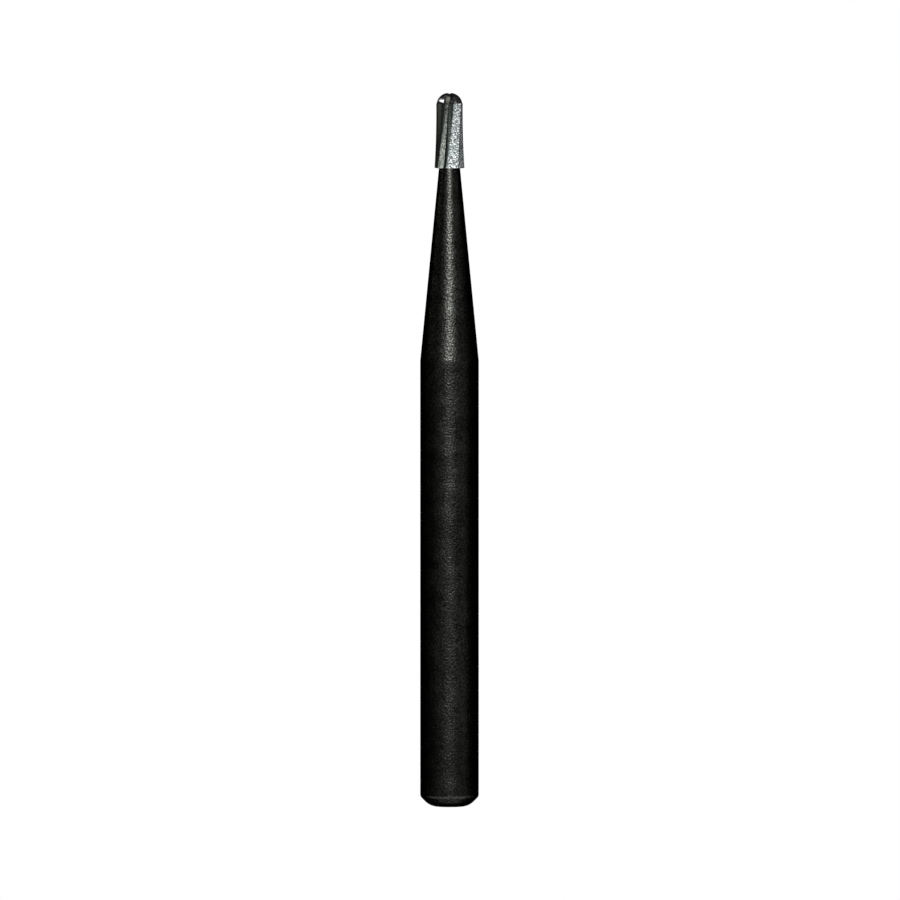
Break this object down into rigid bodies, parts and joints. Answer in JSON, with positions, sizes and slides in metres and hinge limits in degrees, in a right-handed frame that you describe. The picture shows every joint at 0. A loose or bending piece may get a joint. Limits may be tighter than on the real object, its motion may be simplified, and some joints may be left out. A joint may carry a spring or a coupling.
{
  "type": "dental bur",
  "caption": "Friction-grip dental bur: straight black shank with a bevelled end, tapering neck and a dome-ended fluted carbide cutting head.",
  "frame": {"origin": "centre of the shank's flat end", "axes": "+Z along the axis, from the shank's end to the tip of the head; -Y is the side the picture shows"},
  "size_m": [0.0016, 0.0016, 0.0195],
  "materials": {
    "black_coated_steel": "satin, finely grained black coating",
    "ground_carbide": "ground, unpolished, mottled grey"
  },
  "bodies": {
    "root": {"shank": "black_coated_steel", "cutting_head": "ground_carbide"}
  },
  "joints": []
}
